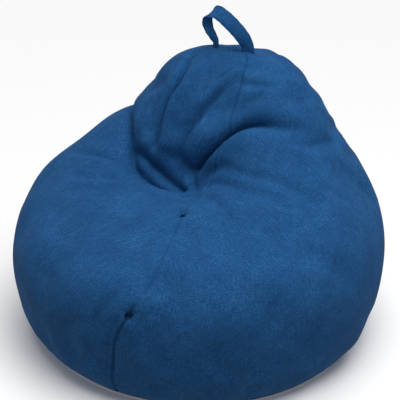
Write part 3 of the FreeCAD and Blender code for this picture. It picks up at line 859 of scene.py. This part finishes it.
# The crown patch closes the top, as rings that narrow to its middle
patch_grid = finished[patch_row:]
top_point = patch_grid[-1].mean(0)
patch_points = np.concatenate([patch_grid.reshape(-1, 3), [top_point]])
patch_faces = grid_faces(*patch_grid.shape[:2], closed=True).tolist()
last_ring = (len(patch_grid) - 1) * COLUMNS
patch_faces += fan(last_ring, COLUMNS, len(patch_points) - 1)
crown_patch = new_object("cover_crown", patch_points, patch_faces, cover_cloth, patch_points[:, :2])
soft_piece(crown_patch, "cover_crown_patch")


def disc(name, ring, height, material, rings=14, wave=0.0004):
    """A flat panel inside a ring of points, with the slight unevenness of cloth."""
    ring = np.asarray(ring, float)
    middle = ring.mean(0)
    shares = np.linspace(1.0, 0.04, rings)
    points = middle + (ring - middle)[None] * shares[:, None, None]
    lift = wave * (1 + settled_beads(points, 8, 8, 1.0))
    points[..., 2] = height + lift * smooth(1 - shares, 0, 0.1)[:, None]
    points = np.concatenate([points.reshape(-1, 3), [[middle[0], middle[1], height + wave]]])
    faces = grid_faces(rings, len(ring), closed=True).tolist()
    faces += fan((rings - 1) * len(ring), len(ring), len(points) - 1)
    return new_object(name, points, faces, material, points[:, :2])


soft_piece(disc("cover_base", finished[0], 0.0004, cover_cloth), "cover_base_panel")


def as_piece(name, geometry, material):
    """A piece that rides on the bag, from its vertices and faces."""
    made = new_object(name, *geometry, material)
    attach(made, "bag")
    return made


# The seam where the wall meets the base: its allowance shows as a thin rib just over the floor
rib_row = 1
rib = finished[rib_row] + ring_normals(finished)[rib_row] * 0.0008
rib = np.concatenate([rib, rib[:1]])
rib[:, 2] = np.maximum(rib[:, 2], 0.0024)
as_piece("cover_base_seam", tube(rib, 0.0017 + 0.0002 * np.sin(np.arange(len(rib)) * 1.3), 8), cover_cloth)


def seam_line(from_seam, arc_at, first, last):
    """A line at a fixed distance from a seam, with its normals, between two rows."""
    normals = ring_normals(finished)
    points, out = [], []
    for row in range(first, last):
        order = np.argsort(from_seam[row])
        arcs = from_seam[row][order]
        points.append([np.interp(arc_at, arcs, finished[row, order, i]) for i in range(3)])
        out.append([np.interp(arc_at, arcs, normals[row, order, i]) for i in range(3)])
    return np.array(points), unit(out)


band_row = int(np.argmax(finished[:, 0, 2] > BAND_TOP))
stitch_rows = [stitches(*seam_line(front_arc, -0.0028, 1, band_row)),
               stitches(*seam_line(front_arc, -BAND_WIDTH + 0.0028, 1, band_row)),
               stitches(*seam_line(front_arc, 0.0045, band_row, patch_row)),
               stitches(*seam_line(back_arc, 0.0045, slot_rows[1] + 4, patch_row))]
as_piece("cover_seam_stitches", joined(stitch_rows), thread_cotton)


def bar_tack(row, reach):
    """Thread laid to and fro across the front seam, close over a few rows about one row. Its near-black
    material paints the shade that falls in the pucker's dimple under it.
    """
    points = []
    for number, share in enumerate(np.linspace(-reach, reach, 17)):
        low = int(math.floor(row + share))
        part = row + share - low
        column = 2 if number % 2 else -2
        on_cloth = finished[low, column] * (1 - part) + finished[low + 1, column] * part
        points.append(on_cloth + seam_normals[row, 0] * 0.0012)
    return tube(points, 0.0008, 6)


# The tacks carry the near-black thread, which paints the shade in the puckers' dimples
tacks = [bar_tack(row, pucker[3]) for row, pucker in zip(tack_rows, PUCKERS)]
as_piece("cover_seam_tacks", joined(tacks), tack_thread)


# ---------------------------------------------------------------- zips

class ZipWall:
    """The wall round a zip: a surface of revolution at the back. Places points on it by their angle from
    the back, their distance up the wall from the zip's centre line, and out from the skin."""

    def __init__(self, layer, middle):
        heights = np.arange(middle - 0.026, middle + 0.026, 0.001)
        turn = math.pi + math.radians(ZIP_ANGLE_SIGHT)
        outward = np.array([math.sin(turn), -math.cos(turn), 0.0])
        found = [layer.look(np.array([0.0, 0.0, height]), outward)[0] for height in heights]
        self.heights = heights
        self.radii = np.array([math.hypot(point[0], point[1]) for point in found])
        profile = np.stack([self.radii, heights], 1)
        self.along = line_length(profile)
        self.along -= np.interp(middle, heights, self.along)
        tangent = unit(np.gradient(profile, axis=0))
        self.normals = np.stack([tangent[:, 1], -tangent[:, 0]], 1)

    def place(self, angle, up, out):
        angle, up, out = np.broadcast_arrays(*(np.asarray(v, float) for v in (angle, up, out)))
        normal = np.stack([np.interp(up, self.along, self.normals[:, i]) for i in range(2)], -1)
        radius = np.interp(up, self.along, self.radii) + normal[..., 0] * out
        height = np.interp(up, self.along, self.heights) + normal[..., 1] * out
        turn = math.pi + np.radians(angle)
        return np.stack([radius * np.sin(turn), -radius * np.cos(turn), height], -1)

    def radius(self):
        return float(np.interp(0.0, self.along, self.radii))


def closed_profile(wall, angles, profile):
    """A bar along the zip with a closed cross-section of (up, out) points."""
    profile = np.asarray(profile, float)
    grid = np.stack([wall.place(angles, up, out) for up, out in profile], 1)
    return grid.reshape(-1, 3), bar_faces(len(angles), len(profile))


def tape_profile(side, depths):
    """Cross-section of a tape: thicker where the coil is sewn on and at its bound outer edge."""
    inner, outer = 0.0008, 0.0008 + TAPE_WIDTH
    ups = np.array([inner, 0.0030, 0.0036, outer - 0.0012, outer - 0.0008, outer])
    front = -depths[0] + np.array([0.0, 0.0, -0.0001, -0.0001, 0.0, 0.0])
    back = np.full(len(ups), -depths[1])
    points = list(zip(side * ups, front)) + list(zip(side * ups[::-1], back))
    return points if side < 0 else points[::-1]


def coil(wall, side, top, depth):
    """The zip's monofilament: a flattened spiral of loops that reach towards the other side."""
    radius = wall.radius()
    pitch = math.degrees(COIL_PITCH / radius)
    turns_count = int(2 * ZIP_HALF_ANGLE / pitch)
    per_turn = 10
    at = np.arange(turns_count * per_turn) / per_turn
    phase = 2 * math.pi * at
    shift = pitch / 2 if side > 0 else 0.0
    angle = -ZIP_HALF_ANGLE + at * pitch + shift * (1 - at / at[-1]) + 0.28 * pitch * np.sin(phase)
    reach = (COIL_REACH - COIL_INNER) / 2 - COIL_WIRE
    middle = (COIL_REACH + COIL_INNER) / 2
    up = side * (middle - reach * np.cos(phase))
    half_height = (top + depth) / 2 - COIL_WIRE
    out = (top - depth) / 2 + half_height * np.sin(phase)
    return tube(wall.place(angle, up, out), COIL_WIRE, 5)


def fold_edge(wall, side):
    """The folded edge of the cloth beside the slot."""
    half_angle = SLOT_HALF_ANGLE - 0.3
    radius = 0.0006
    turns = np.linspace(0, 2 * math.pi, 8, endpoint=False)
    middle = side * (slot_half + radius)
    profile = [(middle + radius * math.cos(t), -radius + radius * math.sin(t)) for t in turns]
    return closed_profile(wall, np.linspace(-half_angle, half_angle, 240), profile)


def build_zip(prefix, layer):
    """The tapes, coils and stitches of one zip. Gives the wall it is sewn into."""
    upper, lower = f"{prefix}_zip_coil_upper", f"{prefix}_zip_coil_lower"
    middle = (nodes_middle(upper)[2] + nodes_middle(lower)[2]) / 2
    wall = ZipWall(layer, middle)
    depths = TAPE_DEPTHS[prefix]
    long_angle = ZIP_HALF_ANGLE + TAPE_OVERRUN_ANGLE
    for name, side in (("upper", 1), ("lower", -1)):
        bar = closed_profile(wall, np.linspace(-long_angle, long_angle, 260), tape_profile(side, depths))
        tape = as_piece(f"{prefix}_zip_band_{name}", bar, tape_cloth)
        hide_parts(f"{prefix}_zip_tape_{name}")
        spiral = coil(wall, side, COIL_TOP_OVER_SKIN[prefix], depths[0])
        teeth = as_piece(f"{prefix}_zip_teeth_{name}", spiral, coil_plastic)
        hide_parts(f"{prefix}_zip_coil_{name}")
    angles = np.linspace(-long_angle + 0.5, long_angle - 0.5, 400)
    rows = []
    for distance in STITCHES_FROM_ZIP[prefix]:
        for side in (-1, 1):
            out = 0.0 if prefix == "cover" else -depths[0]
            line = wall.place(angles, side * distance, out)
            rows.append(stitches(line, unit(wall.place(angles, side * distance, out + 0.001) - line)))
    as_piece(f"{prefix}_zip_stitches", joined(rows), thread_cotton)
    return wall


cover_wall = build_zip("cover", cover)
slot_half = float(np.interp(slot_high, cover_wall.heights, cover_wall.along))
slot_folds = joined([fold_edge(cover_wall, side) for side in (-1, 1)])
as_piece("cover_zip_edges", slot_folds, cover_cloth)

liner = Layer(["liner_left_panel", "liner_right_panel", "liner_crown_patch"])
build_zip("liner", liner)
for name in ("cover_zip_slider", "cover_zip_pull", "cover_zip_stops", "liner_zip_slider", "liner_zip_stops"):
    nodes[name].data.materials.clear()
    nodes[name].data.materials.append(zip_metal)


# ---------------------------------------------------------------- liner and beads

inner_rows = np.arange(0, ROWS, INNER_EVERY)
inner_columns = np.arange(0, COLUMNS, INNER_EVERY)
pushed_in = np.minimum(((finished - base_grid) * base_normals).sum(2), 0.0)
for _ in range(PUSH_SPREAD):
    pushed_in = np.minimum(pushed_in, np.minimum(np.roll(pushed_in, 1, 1), np.roll(pushed_in, -1, 1)))
    pushed_in[1:-1] = np.minimum(pushed_in[1:-1], np.minimum(pushed_in[2:], pushed_in[:-2]))
pushed_in = pushed_in[inner_rows][:, inner_columns]


def inner_grid(layer, margin):
    """A layer under the cover, pushed in where the folds of the cover go deeper."""
    grid = mended(lay_rows(layer, row_share[inner_rows], column_turns[inner_rows][:, inner_columns]))
    normals = ring_normals(grid)
    low = 1 - smooth(grid[..., 2], 0.10, 0.16)
    by_zip = low * (1 - smooth(back_angle[inner_rows][:, inner_columns], 38, 46))
    near_crown = smooth(grid[..., 2], 0.60, 0.67)
    push = (pushed_in * FOLD_ALLOWANCE - margin - CROWN_CLEARANCE * near_crown) * (1 - by_zip)
    grid = grid + normals * push[..., None]
    grid[..., 2] = np.maximum(grid[..., 2], 0.0018)
    return grid


liner_grid = inner_grid(liner, LINER_MARGIN)
half = len(inner_columns) // 2
left_columns = np.arange(half, 2 * half + 1) % (2 * half)
for side, columns in (("right", np.arange(0, half + 1)), ("left", left_columns)):
    part = liner_grid[:, columns]
    panel = new_object(f"liner_{side}", part.reshape(-1, 3), grid_faces(*part.shape[:2]), liner_cloth,
                       weave_of(part))
    soft_piece(panel, f"liner_{side}_panel")
liner_height = liner_grid[-1, :, 2].mean()
liner_top = disc("liner_crown", liner_grid[-1], liner_height, liner_cloth, rings=6, wave=0.0001)
liner_base = disc("liner_base", liner_grid[0] * [1, 1, 0] + [0, 0, 0.0018], 0.0018, liner_cloth)
soft_piece(liner_top, "liner_crown_patch")
soft_piece(liner_base, "liner_base_panel")

bead_grid = inner_grid(Layer(["bead_fill"]), BEAD_MARGIN)
bead_grid[..., 2] = np.maximum(bead_grid[..., 2], 0.0034)
lumps = rng.normal(size=bead_grid.shape[:2]) * 0.0006
bead_grid = bead_grid - ring_normals(bead_grid) * np.abs(lumps)[..., None]
bead_top, bead_bottom = bead_grid[-1].mean(0), bead_grid[0].mean(0)
bead_points = np.concatenate([bead_grid.reshape(-1, 3), [bead_top, bead_bottom]])
count = bead_grid.shape[1]
bead_faces = grid_faces(*bead_grid.shape[:2], closed=True).tolist()
bead_faces += fan((len(bead_grid) - 1) * count, count, len(bead_points) - 2)
bead_faces += fan(0, count, len(bead_points) - 1, inward=True)
beads = new_object("beads", bead_points, bead_faces, bead_foam)
soft_piece(beads, "bead_fill")


# ---------------------------------------------------------------- handle

pivot_height = joints["handle_flop"]["pos_m"][2]


def strap_frame():
    """Stations of the strap from inside the left foot, round the loop, to inside the right foot."""
    pivot = np.array([crown[0], crown[1], pivot_height + PIVOT_GAP])
    middles = curve_through([station[0] for station in STRAP_STATIONS], STRAP_SAMPLES) + pivot
    across = unit(curve_through([unit(station[1]) for station in STRAP_STATIONS], STRAP_SAMPLES))
    widths = curve_through([[station[2]] for station in STRAP_STATIONS], STRAP_SAMPLES)[:, 0]
    depths = np.linspace(STRAP_FOOT_DEPTH + PIVOT_GAP, 0.0012, STRAP_FOOT_SAMPLES)
    down = depths[:, None] * np.array([[0.0, 0.0, -1.0]])
    middles = np.concatenate([middles[0] + down, middles, middles[-1] + down[::-1]])
    across = np.pad(across, ((STRAP_FOOT_SAMPLES, STRAP_FOOT_SAMPLES), (0, 0)), mode="edge")
    widths = np.pad(widths, STRAP_FOOT_SAMPLES, mode="edge")
    return middles, across, widths


def build_strap():
    """The strap, a turned strip with stitches pressed in along both edges, and its rows of stitches."""
    middles, across, widths = strap_frame()
    tangent = unit(np.gradient(middles, axis=0))
    facing = unit(np.cross(tangent, across))
    along = line_length(middles)
    shares = np.linspace(-1, 1, STRAP_ACROSS)
    ring_size = 2 * STRAP_ACROSS
    points, weave = [], []
    for i, width in enumerate(widths):
        edge_gap = width * (1 - np.abs(shares)) / 2
        press = 0.0007 * bell(edge_gap - 0.0032, 0.0011)
        round_edge = np.sqrt(np.clip(1 - np.clip(1 - edge_gap / 0.0014, 0, 1) ** 2, 0, 1))
        gathered = float(np.clip(STRAP_WIDTH / width, 1.0, 2.2)) - 1.0
        pleat = gathered * 0.0016 * np.cos(shares * math.pi * 3.0)
        belly = 0.0014 * math.sin(along[i] * 46.0) * (1 - shares ** 2)
        ripple = 0.0005 * np.sin(along[i] * 240.0 + 2.0 * shares) * np.abs(shares) ** 3
        half_thick = (STRAP_THICKNESS / 2 + 0.0002 - press) * (0.25 + 0.75 * round_edge)
        wide = shares * (width / 2 + 0.0003 * np.sin(along[i] * 310.0))
        centre = pleat + (belly + ripple) * (1 - gathered / 1.3)
        front = middles[i] + across[i] * wide[:, None] + facing[i] * (centre + half_thick)[:, None]
        back = middles[i] + across[i] * wide[:, None] + facing[i] * (centre - half_thick)[:, None]
        points.append(np.concatenate([front, back[::-1]]))
        weave.append(np.stack([np.concatenate([wide, 0.05 - wide[::-1]]), np.full(ring_size, along[i])], 1))
    rings = np.array(points)
    faces = bar_faces(len(rings), ring_size)
    strap = new_object("carry_strap", rings.reshape(-1, 3), faces, strap_cloth, np.concatenate(weave))
    subdivide(strap)
    rows = []
    inside = slice(STRAP_STITCH_MARGIN, len(middles) - STRAP_STITCH_MARGIN)
    for column in STRAP_STITCH_COLUMNS:
        out = facing[inside] * (1 if column < STRAP_ACROSS else -1)
        rows.append(stitches(rings[inside, column], out))
    return strap, joined(rows)


strap_cloth = woven("strap_cloth", BLUE_DARK, BLUE, BLUE_LIGHT)
strap, strap_rows = build_strap()
strap_stitches = new_object("carry_strap_stitches", *strap_rows, thread_cotton)
for made in (strap, strap_stitches):
    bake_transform(made)
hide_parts("handle_strap", "handle_end_left", "handle_end_right")

low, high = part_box("handle_backing_patch")
turns = np.linspace(0, 2 * math.pi, 64, endpoint=False)
half_x, half_y = (high.x - low.x) / 2, (high.y - low.y) / 2
backing_ring = np.stack([crown[0] + half_x * np.cos(turns), crown[1] + half_y * np.sin(turns),
                         np.full(64, high.z - 0.0050)], 1)
backing = disc("crown_backing", backing_ring, high.z - 0.0050, liner_cloth, rings=8, wave=0.0002)
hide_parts("handle_backing_patch")
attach(backing, "bag")


# ---------------------------------------------------------------- floor, light and camera

FLOOR_REACH = 60.0
FLOOR_DROP = 0.0006
pale_floor, _, floor_shader = new_material("pale_floor")
floor_shader.inputs["Base Color"].default_value = (0.98, 0.98, 0.98, 1.0)
floor_shader.inputs["Roughness"].default_value = 1.0
floor_shader.inputs["Specular IOR Level"].default_value = 0.0
corners = [(-FLOOR_REACH, -FLOOR_REACH), (FLOOR_REACH, -FLOOR_REACH), (FLOOR_REACH, FLOOR_REACH),
           (-FLOOR_REACH, FLOOR_REACH)]
floor = new_object("floor", [(x, y, -FLOOR_DROP) for x, y in corners], [(0, 1, 2, 3)], pale_floor)
floor.visible_diffuse = False


def add_light(name, kind, energy, place, aim):
    """A light at a place, or for a sun from its direction, turned to face the aim."""
    light = bpy.data.lights.new(name, kind)
    light.energy = energy
    made = linked(name, light)
    made.location = place
    made.rotation_euler = (Vector(place) - Vector(aim)).to_track_quat("Z", "Y").to_euler()
    return light


add_light("overhead", "SUN", 1.85, (0.12, 0.04, 1.0), (0.0, 0.0, 0.0)).angle = math.radians(50.0)
softbox = add_light("over_the_crown", "AREA", 8.0, (0.75, -0.50, 1.70), (0.0, 0.0, 0.55))
softbox.shape = "SQUARE"
softbox.size = 0.9

WORLD_STRENGTH = 0.37
world = bpy.data.worlds.new("studio")
world.use_nodes = True
world.node_tree.nodes["Background"].inputs["Color"].default_value = (1.0, 1.0, 1.0, 1.0)
world.node_tree.nodes["Background"].inputs["Strength"].default_value = WORLD_STRENGTH
bpy.context.scene.world = world
bpy.context.scene.view_settings.view_transform = "Standard"
bpy.context.scene.view_settings.look = "None"

CAMERA_AZIMUTH = math.radians(31.0)
CAMERA_ELEVATION = math.radians(25.0)
CAMERA_DISTANCE = 2.377
CAMERA_LENS = 85.0
CAMERA_TARGET = Vector((-0.005, 0.029, 0.318))
camera_data = bpy.data.cameras.new("camera")
camera_data.lens = CAMERA_LENS
camera_data.sensor_width = 36.0
camera_data.clip_end = 60.0
camera = linked("camera", camera_data)
back = Vector((math.sin(CAMERA_AZIMUTH) * math.cos(CAMERA_ELEVATION),
               -math.cos(CAMERA_AZIMUTH) * math.cos(CAMERA_ELEVATION), math.sin(CAMERA_ELEVATION)))
camera.location = CAMERA_TARGET + back * CAMERA_DISTANCE
camera.rotation_euler = back.to_track_quat("Z", "Y").to_euler()
bpy.context.scene.camera = camera
